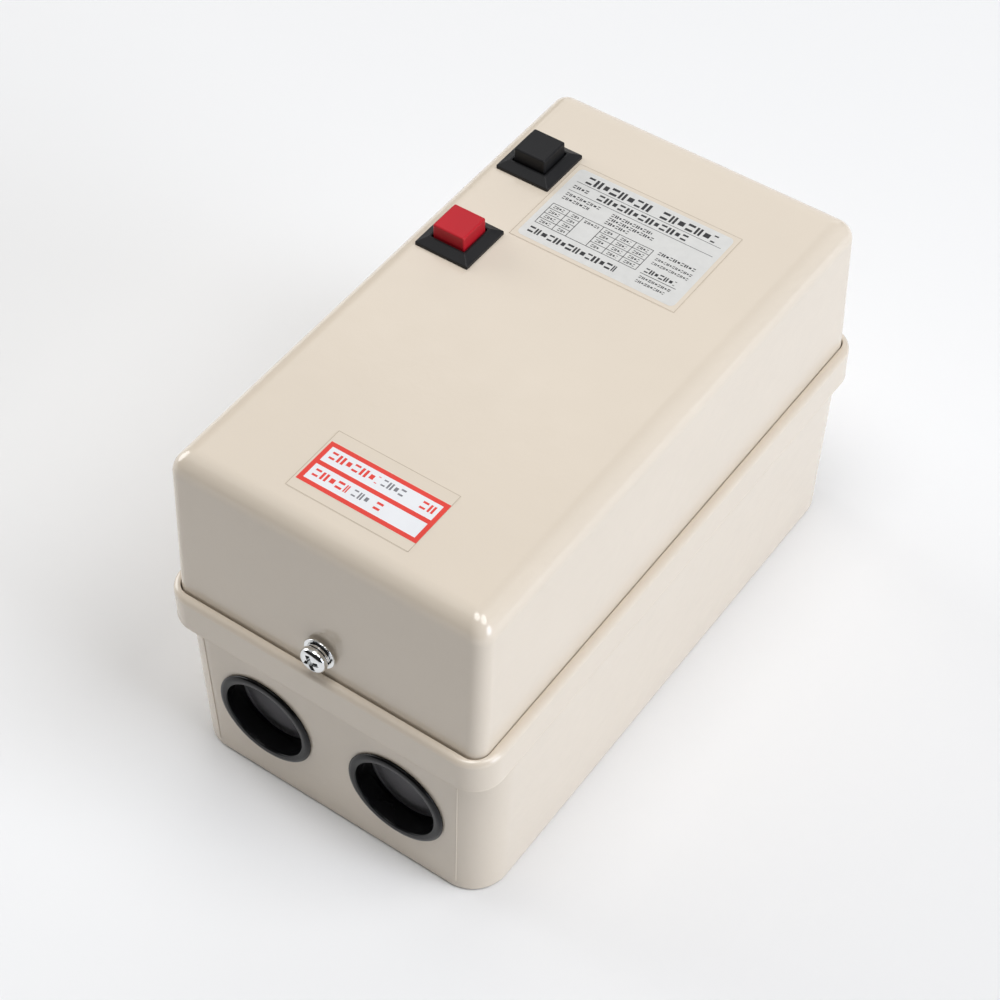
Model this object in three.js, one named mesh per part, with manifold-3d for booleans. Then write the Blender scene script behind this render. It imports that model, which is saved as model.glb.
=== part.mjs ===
// Enclosed magnetic motor starter: a moulded box with a cover that tips up, two push-buttons, and inside it a
// contactor, a thermal overload relay and the two push-button switches on their bracket.
// Frame, in millimetres: the box lies on its mounting face, z = 0, with its centre at x = 0, y = 0.
// +X is its width, +Y points to the end that is up on a wall, and +Z points out of the wall to the cover.
import * as THREE from "three";
import { mergeVertices } from "three/addons/utils/BufferGeometryUtils.js";
import Module from "manifold-3d";

const wasm = await Module();
wasm.setup();

// ---- Driving dimensions ----

const WALL = 3; // base wall and floor
const COVER_WALL = 2.5;
const DRAFT = 0.1; // how much each base end leans in over its height
const FIT = 0.3; // gap between pieces that touch in the real object

const BASE = { width: 99.7, length: 181, corner: 11, edge: 1 };
const BASE_TOP = { width: 103.8, length: 181.2, corner: 12.5 };
const BASE_INSIDE = { width: 97, length: 176, corner: 8 }; // at the ledge that carries the cover
const RIM = { width: 104.6, length: 187.2, corner: 9, edge: 1.6, bottom: 53.7, ledge: 60, top: 65.5 };
const RIM_GAP = 0.4; // between the rim and the cover inside it
const COVER = { width: 98.8, length: 181.8, corner: 4.5, top: 114.5 };
const COVER_TOP = { width: 98.4, length: 176.2, round: 6.8 };

const ENTRY = { x: 22, z: 27.6, radius: 14 }; // cable entry holes in the lower end
const PLUG = { flange: 15.6, lip: 12.9, bore: 12.7, groove: 13.6, bead: 14.6 };
const PLUG_DEPTH = { stand: 1.3, cup: 6.2, skin: 1.3 };

const BUTTON_X = -34.8;
const BUTTON_Y = { start: 55.7, stop: 18 };
const BEZEL = { side: 17.3, edge: 1, high: 2.4, window: 11, sleeve: 14.6, bore: 12.6, depth: 13 };
const BUTTON = { side: 10.2, proud: 6.6, shoulder: 12, stem: 2.6, low: 84.5 };
const SHOULDER_TOP = COVER.top - 3.3;
const SHOULDER_LOW = SHOULDER_TOP - 2;

const SCREW = { z: 73.9, shank: 1.9, head: 4, headHigh: 2.5, length: 16 };
const WASHER = { radius: 4.9, thick: 0.8, ring: 3.9, ringThick: 1, face: -90.8 }; // face: its y, by the cover

const CONTACTOR = { x: 16, y: 36, width: 46, length: 76, low: 5, split: 43, high: 84, tower: 53 };
const POLE_PITCH = 13.5;
const AIR_GAP = 4.8; // between the open cores, and between the open contacts
const STRIP = { width: 7, thick: 1.4, z: 56.3 }; // main conductors

const RELAY = { x: 16, y: -27.5, width: 46, length: 47, low: 5, high: 64, ledge: 26 };
const SWITCH = { width: 18, length: 22, low: 50.3, high: 78, plunger: 3 };

// ---- Solids ----

const solid = (geometry) => {
  const bare = geometry.clone();
  bare.deleteAttribute("normal");
  bare.deleteAttribute("uv");
  const merged = mergeVertices(bare, 1e-4);
  return new wasm.Manifold(
    new wasm.Mesh({
      numProp: 3,
      vertProperties: merged.attributes.position.array,
      triVerts: new Uint32Array(merged.index.array),
    }),
  );
};

const geometryOf = (made) => {
  const mesh = made.getMesh();
  const geometry = new THREE.BufferGeometry();
  geometry.setAttribute("position", new THREE.BufferAttribute(mesh.vertProperties, mesh.numProp));
  geometry.setIndex(new THREE.BufferAttribute(mesh.triVerts, 1));
  return geometry;
};

const join = (first, ...rest) => rest.reduce((whole, piece) => whole.add(piece), first);
const cut = (first, ...tools) => tools.reduce((whole, tool) => whole.subtract(tool), first);

// A box centred on x and y, standing on z.
const block = (width, length, high, x, y, z) =>
  solid(new THREE.BoxGeometry(width, length, high).translate(x, y, z + high / 2));

// A box between two corners.
const span = (x0, x1, y0, y1, z0, z1) => block(x1 - x0, y1 - y0, z1 - z0, (x0 + x1) / 2, (y0 + y1) / 2, z0);

// A cylinder that starts at x, y, z and runs along +Z, or along +Y.
const rod = (radius, length, sides) => new THREE.CylinderGeometry(radius, radius, length, sides);
const rodZ = (radius, length, x, y, z, sides = 20) =>
  solid(rod(radius, length, sides).rotateX(Math.PI / 2).translate(x, y, z + length / 2));
const rodY = (radius, length, x, y, z, sides = 20) =>
  solid(rod(radius, length, sides).translate(x, y + length / 2, z));

const CORNER_STEPS = 5;

// The outline of a rectangle with round corners, as points at height z.
function ring(width, length, radius, z) {
  const [x, y] = [width / 2 - radius, length / 2 - radius];
  const corners = [
    [x, -y],
    [x, y],
    [-x, y],
    [-x, -y],
  ];
  return corners.flatMap(([cx, cy], quarter) =>
    Array.from({ length: CORNER_STEPS + 1 }, (_, i) => {
      const angle = (quarter - 1 + i / CORNER_STEPS) * (Math.PI / 2);
      return new THREE.Vector3(cx + radius * Math.cos(angle), cy + radius * Math.sin(angle), z);
    }),
  );
}

// A solid through a stack of rings, lowest first, each given as [width, length, radius, z].
function loft(...sections) {
  const rings = sections.map((section) => ring(...section));
  const n = rings[0].length;
  const points = rings.flat();
  const faces = [];
  for (let i = 0; i + 1 < rings.length; i++) {
    for (let j = 0; j < n; j++) {
      const [a, b] = [i * n + j, i * n + ((j + 1) % n)];
      faces.push(a, b, b + n, a, b + n, a + n);
    }
  }
  const last = (rings.length - 1) * n;
  points.push(new THREE.Vector3(0, 0, sections[0][3]), new THREE.Vector3(0, 0, sections.at(-1)[3]));
  for (let j = 0; j < n; j++) {
    const next = (j + 1) % n;
    faces.push(points.length - 2, next, j, points.length - 1, last + j, last + next);
  }
  const geometry = new THREE.BufferGeometry().setFromPoints(points);
  geometry.setIndex(faces);
  return solid(geometry);
}

// Rings that round the top edge of a loft: radius is the edge's, corner the outline's.
const roundTop = (width, length, corner, radius, top, steps) =>
  Array.from({ length: steps + 1 }, (_, i) => {
    const angle = (i / steps) * (Math.PI / 2);
    const inset = radius * (1 - Math.cos(angle));
    const turn = Math.max(corner - inset, 0.3);
    return [width - 2 * inset, length - 2 * inset, turn, top - radius + radius * Math.sin(angle)];
  });

// A profile of [radius, height] points turned about the Y axis, starting and ending on it.
const turned = (profile, sides) =>
  new THREE.LatheGeometry(profile.map(([r, h]) => new THREE.Vector2(r, h)), sides);

// An outline of [y, z] points, thick along x and centred there.
function slab(outline, thick, x) {
  const shape = new THREE.Shape(outline.map(([y, z]) => new THREE.Vector2(y, z)));
  const geometry = new THREE.ExtrudeGeometry(shape, { depth: thick, bevelEnabled: false });
  return solid(geometry.rotateX(Math.PI / 2).rotateZ(Math.PI / 2).translate(x - thick / 2, 0, 0));
}

class Helix extends THREE.Curve {
  constructor(radius, low, high, turns) {
    super();
    Object.assign(this, { radius, low, high, turns });
  }

  getPoint(t, target = new THREE.Vector3()) {
    const angle = t * this.turns * 2 * Math.PI;
    const z = this.low + t * (this.high - this.low);
    return target.set(this.radius * Math.cos(angle), this.radius * Math.sin(angle), z);
  }
}

// A round bar along a path. sides is even.
const tube = (path, radius, steps, sides) => {
  const section = new THREE.Shape().absarc(0, 0, radius, 0, 2 * Math.PI);
  return new THREE.ExtrudeGeometry(section, {
    steps,
    curveSegments: sides / 2,
    extrudePath: path,
    bevelEnabled: false,
  });
};

// A coil spring standing on low, its wire inside low to high.
function coilSpring(radius, wire, low, high, turns) {
  const path = new Helix(radius, low + wire, high - wire, turns);
  return tube(path, wire, Math.round(turns * 9), 6);
}

// ---- Materials ----

const finish = (color, roughness, metalness = 0) =>
  new THREE.MeshStandardMaterial({ color, roughness, metalness });
const MATERIAL = {
  enclosure: finish(0xddd2c1, 0.35),
  blackPlastic: finish(0x222224, 0.5),
  redPlastic: finish(0xc01828, 0.4),
  rubber: finish(0x19191b, 0.6),
  zinc: finish(0xc4c8c8, 0.25, 1),
  spring: finish(0xb0b0ae, 0.3, 1),
  label: finish(0xeeeeea, 0.5),
  housing: finish(0x2b2b2d, 0.6),
  cap: finish(0xd8d4c8, 0.5),
  iron: finish(0x77726b, 0.5, 1),
  bobbin: finish(0xd9d3bd, 0.6),
  winding: finish(0x8c3d22, 0.5),
  brass: finish(0xc9a45a, 0.3, 1),
  silver: finish(0xd0d0cc, 0.25, 1),
  wire: finish(0xc8a51e, 0.5),
};

const starter = new THREE.Group();

function add(name, geometry, material, parent = starter) {
  const mesh = new THREE.Mesh(geometry, material);
  mesh.name = name;
  parent.add(mesh);
  return mesh;
}

// ---- Enclosure base ----

// Half of the base's outer length at height z.
const endFace = (z) => BASE.length / 2 + DRAFT * (z / RIM.bottom);

function baseShell() {
  const { width, length, corner, edge } = BASE;
  const body = loft(
    [width - 2 * edge, length - 2 * edge, corner - edge, 0],
    [width, length, corner, edge],
    [BASE_TOP.width, BASE_TOP.length, BASE_TOP.corner, RIM.bottom + 1],
  );
  const rim = loft(
    [RIM.width, RIM.length, RIM.corner, RIM.bottom],
    ...roundTop(RIM.width, RIM.length, RIM.corner, RIM.edge, RIM.top, 3),
  );
  const inside = loft(
    [width - 2 * WALL, length - 2 * WALL, corner - WALL, WALL],
    [BASE_INSIDE.width, BASE_INSIDE.length, BASE_INSIDE.corner, RIM.ledge + 1],
  );
  const seat = loft(
    [COVER.width + 2 * RIM_GAP, COVER.length + 2 * RIM_GAP, COVER.corner + RIM_GAP, RIM.ledge],
    [COVER.width + 2 * RIM_GAP, COVER.length + 2 * RIM_GAP, COVER.corner + RIM_GAP, RIM.top + 1],
  );
  return cut(join(body, rim), inside, seat);
}

// Round grooves in the upper end, where a disc can be knocked out for a cable.
function knockOut(x) {
  const outer = endFace(ENTRY.z);
  const groove = cut(
    rodY(ENTRY.radius, 4, x, outer - 1.2, ENTRY.z, 32),
    rodY(ENTRY.radius - 1.2, 6, x, outer - 2, ENTRY.z, 32),
  );
  return groove;
}

const TAB = { half: 5.5, thick: 1.5, y: -86.5, low: 37, high: 78, flange: 7, flangeLow: 62 };
const TAB_SCREW = { z: 43, shank: 1.5, head: 2.8, headHigh: 1.8, length: 4.6 };
const PAD = { radius: 4.5, hole: 1.4 };
const MOUNT_HOLES = [
  [0, 81.5],
  [-38, -76],
  [38, -76],
];
const HOOK = { x: 26, width: 10, tongueLow: 53.8, nub: 1.7 };

function base() {
  const outside = -endFace(ENTRY.z) - 2;
  const entries = [-1, 1].map((side) => rodY(ENTRY.radius, 8, side * ENTRY.x, outside, ENTRY.z, 32));
  const knockOuts = [-1, 1].map((side) => knockOut(side * ENTRY.x));
  const mounting = MOUNT_HOLES.map(([x, y]) => rodZ(2.6, WALL + 2, x, y, -1));
  const keyhole = rodZ(4.8, WALL + 2, MOUNT_HOLES[0][0], MOUNT_HOLES[0][1] - 6.5, -1);
  const pads = [
    [CONTACTOR.x - 15, CONTACTOR.y - 32],
    [CONTACTOR.x + 15, CONTACTOR.y + 32],
    [RELAY.x - 15, RELAY.y - 10],
  ].map(([x, y]) => rodZ(PAD.radius, CONTACTOR.low - FIT - WALL + 0.5, x, y, WALL - 0.5, 12));
  const catchPad = span(-6, 6, -88.5, TAB.y - FIT, 36, 50);
  const tabHole = rodY(TAB_SCREW.shank + 0.15, 4, 0, TAB.y - 3.6, TAB_SCREW.z, 14);
  const sockets = [-1, 1].map((side) => block(HOOK.width + 1, 1.8, 5.5, side * HOOK.x, 88.7, 51.5));
  const holes = [...entries, ...knockOuts, ...mounting, keyhole, ...sockets, tabHole];
  return cut(join(baseShell(), ...pads, catchPad), ...holes);
}

add("base", geometryOf(base()), MATERIAL.enclosure);

// A rubber plug in a cable entry, open outwards, with a skin across its inner end.
function cablePlug(side) {
  const { flange, lip, bore, groove, bead } = PLUG;
  const { stand, cup: depth, skin } = PLUG_DEPTH;
  const profile = [
    [0, -depth - skin],
    [groove - 0.4, -depth - skin],
    [bead, -WALL - 1.2],
    [bead, -WALL - FIT],
    [groove, -WALL - FIT],
    [groove, FIT],
    [flange, FIT],
    [flange, 0.6],
    [flange - 0.9, stand - 0.2],
    [flange - 2, stand],
    [lip + 0.4, stand],
    [bore, stand - 0.6],
    [bore, -depth],
    [0, -depth],
  ];
  const geometry = turned(profile, 32).rotateX(Math.PI);
  return geometry.translate(side * ENTRY.x, -endFace(ENTRY.z), ENTRY.z);
}

add("left_cable_plug", cablePlug(-1), MATERIAL.rubber);
add("right_cable_plug", cablePlug(1), MATERIAL.rubber);

// The steel tab behind the lower end of the cover: an open notch for the cover screw, and two flanges that
// keep the nut from turning.
function catchTab() {
  const { half, thick, y, low, high, flange, flangeLow } = TAB;
  const web = span(-half, half, y, y + thick, low, high);
  const inner = y + thick + flange;
  const flanges = [-half, half - thick].map((x) => span(x, x + thick, y, inner, flangeLow, high));
  const room = SCREW.shank + 0.5;
  const notch = join(rodY(room, 4, 0, y - 1, SCREW.z), span(-room, room, y - 1, y + 3, SCREW.z, high + 1));
  return cut(join(web, ...flanges), notch, rodY(TAB_SCREW.shank + 0.2, 4, 0, y - 1, TAB_SCREW.z));
}

function tabScrew() {
  const { z, shank, head, headHigh, length } = TAB_SCREW;
  const seat = TAB.y + TAB.thick + 0.1;
  return cut(
    join(rodY(head, headHigh, 0, seat, z), rodY(shank, length + 1, 0, seat - length, z, 14)),
    span(-3, 3, seat + headHigh - 0.8, seat + 5, z - 0.35, z + 0.35),
  );
}

add("catch_tab", geometryOf(catchTab()), MATERIAL.zinc);
add("catch_tab_screw", geometryOf(tabScrew()), MATERIAL.zinc);

// ---- Cover, with what is fixed to it ----

const cover = new THREE.Group();
starter.add(cover);

function coverShell() {
  const low = RIM.ledge + FIT;
  const round = (inset) =>
    roundTop(
      COVER_TOP.width - 2 * inset,
      COVER_TOP.length - 2 * inset,
      COVER.corner - inset,
      COVER_TOP.round - inset,
      COVER.top - inset,
      5,
    );
  const outer = loft([COVER.width, COVER.length, COVER.corner, low], ...round(0));
  const inner = loft(
    [COVER.width - 2 * COVER_WALL, COVER.length - 2 * COVER_WALL, COVER.corner - COVER_WALL, low - 1],
    ...round(COVER_WALL),
  );
  return cut(outer, inner);
}

// A tongue inside the upper end of the cover, whose nub hooks into a socket in the base.
function hook(side) {
  const { x, width, tongueLow, nub } = HOOK;
  const strip = (y0, y1, z0, z1) => block(width, y1 - y0, z1 - z0, side * x, (y0 + y1) / 2, z0);
  return join(
    strip(85.2, 87.4, tongueLow, 72),
    strip(86.5, 87.4 + nub, tongueLow, tongueLow + 1.8),
    strip(86, 88.4, 62, 72),
  );
}

function coverBody() {
  const holes = Object.values(BUTTON_Y).map((y) =>
    block(BEZEL.sleeve + 2 * FIT, BEZEL.sleeve + 2 * FIT, 10, BUTTON_X, y, COVER.top - 6),
  );
  const screwHole = rodY(SCREW.shank + 0.4, 8, 0, -94, SCREW.z);
  return cut(join(coverShell(), hook(-1), hook(1)), ...holes, screwHole);
}

add("cover", geometryOf(coverBody()), MATERIAL.enclosure, cover);

const LABEL_THICK = 0.25;
const LABEL_LIFT = 0.05;

// A thin label on the cover's face, between two corners.
function label(x0, x1, y0, y1) {
  const made = loft([x1 - x0, y1 - y0, 1.2, 0], [x1 - x0, y1 - y0, 1.2, LABEL_THICK]);
  return geometryOf(made).translate((x0 + x1) / 2, (y0 + y1) / 2, COVER.top + LABEL_LIFT);
}

add("name_plate", label(-24, 26, 29, 60.6), MATERIAL.label, cover);
add("rating_label", label(-18.4, 19.6, -78, -56), MATERIAL.label, cover);

// ---- Push-buttons: a bezel through the cover, the button, its spring, and the plate under the spring ----

// A square frame with a sloping face and a sleeve below it, about the button's own axis.
function bezel() {
  const { side, edge, high, window: opening, sleeve, bore, depth } = BEZEL;
  const rimRadius = 0.6;
  const face = loft(
    [side, side, rimRadius, FIT],
    [side, side, rimRadius, edge],
    [opening + 1, opening + 1, 0.3, high],
  );
  const shank = block(sleeve, sleeve, depth + edge, 0, 0, -depth);
  const window = block(opening, opening, high + 10, 0, 0, -5);
  const inside = block(bore, bore, depth, 0, 0, SHOULDER_TOP - COVER.top + 0.1 - depth);
  return cut(join(face, shank), window, inside);
}

function button() {
  const { side, proud, shoulder, stem, low } = BUTTON;
  const corner = 0.5;
  const cap = loft(
    [side, side, corner, SHOULDER_TOP - 0.5],
    [side, side, corner, COVER.top + proud - 0.4],
    [side - 0.6, side - 0.6, corner - 0.2, COVER.top + proud],
  );
  const collar = block(shoulder, shoulder, SHOULDER_TOP - SHOULDER_LOW, 0, 0, SHOULDER_LOW);
  return join(cap, collar, rodZ(stem, SHOULDER_LOW - low + 0.5, 0, 0, low, 16));
}

const SPRING_SEAT = COVER.top - BEZEL.depth - FIT; // top of the plate under the spring

function springPlate() {
  const plate = block(17, 17, 1.5, 0, 0, SPRING_SEAT - 1.5);
  return cut(plate, rodZ(BUTTON.stem + 0.4, 4, 0, 0, SPRING_SEAT - 3, 16));
}

const CAP_MATERIAL = { start: MATERIAL.blackPlastic, stop: MATERIAL.redPlastic };

for (const [name, y] of Object.entries(BUTTON_Y)) {
  const set = new THREE.Group();
  set.position.set(BUTTON_X, y, 0);
  cover.add(set);
  const spring = coilSpring(4.4, 0.35, SPRING_SEAT + 0.1, SHOULDER_LOW - 0.1, 4);
  add(`${name}_bezel`, geometryOf(bezel()).translate(0, 0, COVER.top), MATERIAL.blackPlastic, set);
  add(`${name}_button`, geometryOf(button()), CAP_MATERIAL[name], set);
  add(`${name}_spring`, spring, MATERIAL.spring, set);
  add(`${name}_spring_plate`, geometryOf(springPlate()), MATERIAL.blackPlastic, set);
}

// ---- Cover screw, with its two washers and its nut ----

function coverScrew() {
  const { shank, head, headHigh, length, z } = SCREW;
  const under = WASHER.face - WASHER.thick - WASHER.ringThick - 0.1;
  const profile = [
    [0, 0],
    [shank, 0],
    [shank, length],
    [head, length],
    [head, length + headHigh - 1],
    [head - 0.9, length + headHigh - 0.2],
    [0, length + headHigh],
  ];
  const screw = solid(turned(profile, 24).rotateX(Math.PI).translate(0, under + length, z));
  const face = under - headHigh;
  const [long, wide] = [2.2, 0.5];
  const bottom = face + 1.4;
  const recess = join(
    span(-long, long, face - 1, bottom, z - wide, z + wide),
    span(-wide, wide, face - 1, bottom, z - long, z + long),
  );
  return cut(screw, recess);
}

// A washer round the cover screw, whose outer face is at y.
const washer = (radius, hole, thick, y) =>
  cut(rodY(radius, thick, 0, y, SCREW.z, 24), rodY(hole, thick + 2, 0, y - 1, SCREW.z, 24));

function springWasher() {
  const { thick, ring: outer, ringThick, face } = WASHER;
  const whole = washer(outer, SCREW.shank + 0.2, ringThick - 0.1, face - thick - ringThick);
  return cut(whole, span(-0.4, 0.4, -95, -88, SCREW.z, SCREW.z + 6));
}

function flatWasher() {
  return washer(WASHER.radius, SCREW.shank + 0.2, WASHER.thick, WASHER.face - WASHER.thick);
}

add("cover_screw", geometryOf(coverScrew()), MATERIAL.zinc, cover);
add("cover_screw_spring_washer", geometryOf(springWasher()), MATERIAL.zinc, cover);
add("cover_screw_flat_washer", geometryOf(flatWasher()), MATERIAL.zinc, cover);

const NUT = { side: 7, thick: 3.2, y: -84.7 };
const nut = cut(
  block(NUT.side, NUT.thick, NUT.side, 0, NUT.y + NUT.thick / 2, SCREW.z - NUT.side / 2),
  rodY(SCREW.shank + 0.12, 8, 0, NUT.y - 2, SCREW.z),
);
add("cover_screw_nut", geometryOf(nut), MATERIAL.brass, cover);

// ---- Contactor ----

const contactor = new THREE.Group();
starter.add(contactor);
const POLES = [-1, 0, 1].map((i) => CONTACTOR.x + i * POLE_PITCH);
const LOWER_WALL = 2.5;
const BARRIER = 1.6; // thickness of the walls between terminals
const BARRIERS = [-22.2, -POLE_PITCH / 2, POLE_PITCH / 2, 22.2].map((offset) => CONTACTOR.x + offset);
const TERMINAL_Y = [CONTACTOR.y - 31, CONTACTOR.y + 31];

// A box open at its top, for the magnet.
function lowerHousing() {
  const { x, y, width, length, low, split } = CONTACTOR;
  const inner = length - 16;
  return cut(
    block(width, length, split - low, x, y, low),
    block(width - 2 * LOWER_WALL, inner, split, x, y, low + LOWER_WALL),
  );
}

const TERMINAL_LEDGE = STRIP.z - FIT;
const SCREW_HOLE = 2.1;

// The upper part: a tower open below, round the contacts, between two terminal ledges with barriers.
function upperHousing() {
  const { x, y, width, length, split, high, tower: towerLength } = CONTACTOR;
  const low = split + FIT;
  const ledges = block(width, length, TERMINAL_LEDGE - low, x, y, low);
  const tower = block(width, towerLength, high - low, x, y, low);
  const barriers = BARRIERS.map((bx) => block(BARRIER, length, 66 - low, bx, y, low));
  const chamber = block(width - 5, towerLength - 5, high - low - 2.5 + 1, x, y, low - 1);
  const slots = POLES.map((px) => block(STRIP.width + 0.8, length + 2, 4, px, y, TERMINAL_LEDGE));
  const holes = POLES.flatMap((px) =>
    TERMINAL_Y.map((ty) => rodZ(SCREW_HOLE, 9, px, ty, TERMINAL_LEDGE - 8, 12)),
  );
  const window = block(24, 8, 6, x, y, high - 4);
  return cut(join(ledges, tower, ...barriers), chamber, ...slots, ...holes, window);
}

add("contactor_lower_housing", geometryOf(lowerHousing()), MATERIAL.housing, contactor);
add("contactor_upper_housing", geometryOf(upperHousing()), MATERIAL.cap, contactor);

// E-shaped cores, with their limbs along z and their spread along y.
const CORE = { spread: 45.5, depth: 14, yoke: 6, centre: 14, side: 7.5, low: 7.8, limb: 18 };

function core(yokeLow, limbLow, limbHigh) {
  const { x, y } = CONTACTOR;
  const limbs = [
    [0, CORE.centre],
    [-(CORE.spread - CORE.side) / 2, CORE.side],
    [(CORE.spread - CORE.side) / 2, CORE.side],
  ];
  return join(
    block(CORE.depth, CORE.spread, CORE.yoke, x, y, yokeLow),
    ...limbs.map(([dy, wide]) => block(CORE.depth, wide, limbHigh - limbLow, x, y + dy, limbLow)),
  );
}

const POLE_FACE = CORE.low + CORE.yoke + CORE.limb;
const ARMATURE_LOW = POLE_FACE + AIR_GAP;
const ARMATURE_YOKE = ARMATURE_LOW + 6;
const ARMATURE_HIGH = ARMATURE_YOKE + CORE.yoke;
add("fixed_core", geometryOf(core(CORE.low, CORE.low + 3, POLE_FACE)), MATERIAL.iron, contactor);
const movingCore = core(ARMATURE_YOKE, ARMATURE_LOW, ARMATURE_YOKE + 3);
add("moving_core", geometryOf(movingCore), MATERIAL.iron, contactor);

const BOBBIN = { low: CORE.low + CORE.yoke + FIT, high: POLE_FACE - 2, bore: 14.8, wall: 1.2, flange: 1.2 };

function bobbin() {
  const { x, y } = CONTACTOR;
  const { low, high, bore, wall, flange } = BOBBIN;
  const outer = bore + 2 * wall;
  const flangeLength = CORE.spread - 2 * CORE.side - 2 * FIT;
  return cut(
    join(
      block(outer, outer, high - low, x, y, low),
      block(30, flangeLength, flange, x, y, low),
      block(30, flangeLength, flange, x, y, high - flange),
    ),
    block(bore, bore, 40, x, y, low - 5),
  );
}

function winding() {
  const { low, high, bore, wall, flange } = BOBBIN;
  const inner = bore + 2 * wall + 2 * FIT;
  const [z0, z1] = [low + flange + FIT, high - flange - FIT];
  const coil = cut(loft([28, 28, 4, z0], [28, 28, 4, z1]), block(inner, inner, 40, 0, 0, z0 - 5));
  return geometryOf(coil).translate(CONTACTOR.x, CONTACTOR.y, 0);
}

add("coil_bobbin", geometryOf(bobbin()), MATERIAL.bobbin, contactor);
add("coil_winding", winding(), MATERIAL.winding, contactor);

const returnSpring = coilSpring(11.3, 0.5, BOBBIN.high + 0.1, ARMATURE_YOKE - 0.1, 3);
returnSpring.translate(CONTACTOR.x, CONTACTOR.y, 0);
add("armature_return_spring", returnSpring, MATERIAL.spring, contactor);

// Contact tips: the fixed ones stand on the strips, the moving ones hang under each bridge.
const TIP = { high: 1.2, reach: 9, radius: 2 };
const FIXED_TIP_TOP = STRIP.z + STRIP.thick + TIP.high;
const BRIDGE = { low: FIXED_TIP_TOP + AIR_GAP + TIP.high, thick: 1.4, length: 24 };

function bridge(px) {
  const { y } = CONTACTOR;
  const tipLow = BRIDGE.low - TIP.high;
  const tips = [-TIP.reach, TIP.reach].map((dy) =>
    rodZ(TIP.radius, TIP.high + 0.4, px, y + dy, tipLow, 10),
  );
  return join(block(6, BRIDGE.length, BRIDGE.thick, px, y, BRIDGE.low), ...tips);
}

POLES.forEach((px, i) => add(`moving_contact_${i + 1}`, geometryOf(bridge(px)), MATERIAL.silver, contactor));

// The carrier stands on the moving core and holds the bridges in windows.
function carrier() {
  const { x, y } = CONTACTOR;
  const [low, high] = [ARMATURE_HIGH + FIT, BRIDGE.low + BRIDGE.thick + 7];
  const foot = block(38, 14, 4, x, y, low);
  const wall = block(38, 9, high - low, x, y, low);
  const nose = block(22, 6, 5, x, y, high - 0.5);
  const windowHigh = BRIDGE.thick + 2 * FIT + 3;
  const windows = POLES.map((px) => block(8.4, 12, windowHigh, px, y, BRIDGE.low - FIT));
  return cut(join(foot, wall, nose), ...windows);
}

add("contact_carrier", geometryOf(carrier()), MATERIAL.housing, contactor);

// A strip from a terminal screw, through the tower wall, to a fixed tip. side is -1 for load, 1 for line.
function terminal(px, side) {
  const { y, length } = CONTACTOR;
  const outer = length / 2 - 1;
  const inner = TIP.reach - 2.6;
  const middle = y + (side * (outer + inner)) / 2;
  const strip = block(STRIP.width, outer - inner, STRIP.thick, px, middle, STRIP.z);
  const tip = rodZ(TIP.radius, TIP.high + 0.4, px, y + side * TIP.reach, FIXED_TIP_TOP - TIP.high - 0.4, 10);
  return cut(join(strip, tip), rodZ(SCREW_HOLE, 6, px, y + side * 31, STRIP.z - 2, 12));
}

// A terminal screw with its square clamping washer, standing on z.
function terminalScrew(x, y, z) {
  const clamp = block(7, 7, 1.1, 0, 0, 0);
  const head = rodZ(3.4, 2.4, 0, 0, 1, 16);
  const shank = rodZ(1.8, 8, 0, 0, -7.5, 12);
  const slot = block(7, 0.9, 1.2, 0, 0, 2.4);
  return geometryOf(cut(join(clamp, head, shank), slot)).translate(x, y, z);
}

const PIN = { thick: 1.2, z: STRIP.z + STRIP.thick + FIT }; // relay pins lie on the load strips
[
  ["load", -1, PIN.z + PIN.thick + FIT],
  ["line", 1, STRIP.z + STRIP.thick + FIT],
].forEach(([name, side, z]) =>
  POLES.forEach((px, i) => {
    add(`${name}_terminal_${i + 1}`, geometryOf(terminal(px, side)), MATERIAL.brass, contactor);
    add(`${name}_screw_${i + 1}`, terminalScrew(px, CONTACTOR.y + side * 31, z), MATERIAL.zinc, contactor);
  }),
);

// ---- Thermal overload relay ----

const relay = new THREE.Group();
starter.add(relay);
const RELAY_Y = { front: RELAY.y - RELAY.length / 2, back: RELAY.y + RELAY.length / 2 };
const RELAY_BODY_FRONT = RELAY_Y.front + 13; // where the tall part starts, behind the load ledge
const HEATER = { thick: 1.2, width: 6, y: -14, low: RELAY.ledge + FIT, end: RELAY_Y.front + 1 };
const RELAY_LID = { thick: 3, low: RELAY.high - 3 };

function relayHousing() {
  const { x, width, low, ledge } = RELAY;
  const half = width / 2;
  const tall = span(x - half, x + half, RELAY_BODY_FRONT, RELAY_Y.back, low, RELAY_LID.low - FIT);
  const step = span(x - half, x + half, RELAY_Y.front, RELAY_BODY_FRONT + 1, low, ledge);
  const barriers = BARRIERS.map((bx) =>
    span(bx - BARRIER / 2, bx + BARRIER / 2, RELAY_Y.front, RELAY_BODY_FRONT + 1, low, ledge + 9),
  );
  const [front, back] = [RELAY_BODY_FRONT + LOWER_WALL, RELAY_Y.back - LOWER_WALL];
  const inner = half - LOWER_WALL;
  const chamber = span(x - inner, x + inner, front, back, low + LOWER_WALL, 80);
  const slots = POLES.flatMap((px) => [
    block(HEATER.width + 0.8, 10, 2.4, px, RELAY_BODY_FRONT, ledge - 0.3),
    block(HEATER.width + 0.8, 8, 10, px, RELAY_Y.back, PIN.z - 0.6),
  ]);
  const holes = POLES.map((px) => rodZ(SCREW_HOLE, 9, px, RELAY_Y.front + 6, ledge - 8, 12));
  return cut(join(tall, step, ...barriers), chamber, ...slots, ...holes);
}

const DIAL = { x: RELAY.x - 12, y: RELAY.y + 4, radius: 6 };
const RESET = { x: RELAY.x + 13, y: RELAY.y + 4, radius: 3.5 };

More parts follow.
